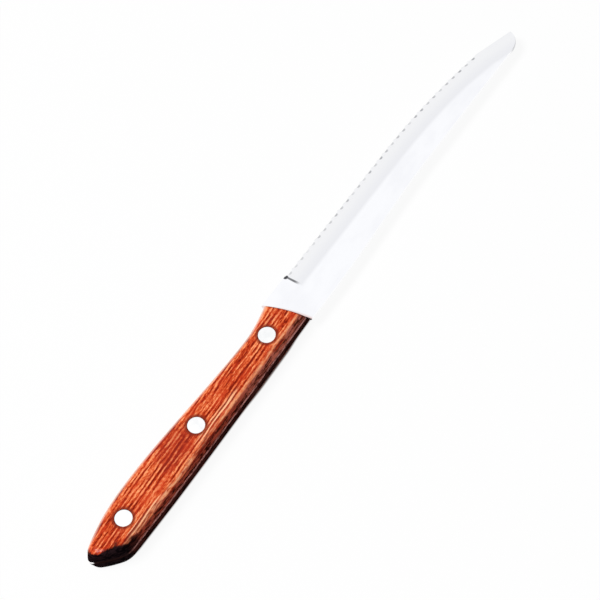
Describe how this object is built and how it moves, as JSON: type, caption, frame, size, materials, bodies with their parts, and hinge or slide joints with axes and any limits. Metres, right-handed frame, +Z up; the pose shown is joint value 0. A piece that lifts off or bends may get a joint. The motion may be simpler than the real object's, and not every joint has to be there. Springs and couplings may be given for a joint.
{
  "type": "steak knife",
  "caption": "Slim table knife for cutting meat, with a serrated full-tang steel blade and a slender riveted handle of red laminated wood.",
  "frame": {"origin": "on the flat underside of the lower scale, on the line of the rivets, halfway between the front and the middle rivet", "axes": "+X along the knife to the blade's point, +Y to the cutting edge, +Z up through the knife's thickness, with the knife lying flat"},
  "size_m": [0.2365, 0.017, 0.011],
  "materials": {
    "blade_steel": "fine satin, bare",
    "scale_wood": "red-orange dyed laminate, glossy lacquer",
    "rivet_metal": "turned flush, satin"
  },
  "bodies": {
    "root": {"blade": "blade_steel", "upper_scale": "scale_wood", "lower_scale": "scale_wood", "front_rivet_sleeve": "rivet_metal", "front_rivet_pin": "rivet_metal", "middle_rivet_sleeve": "rivet_metal", "middle_rivet_pin": "rivet_metal", "rear_rivet_sleeve": "rivet_metal", "rear_rivet_pin": "rivet_metal"}
  },
  "joints": []
}
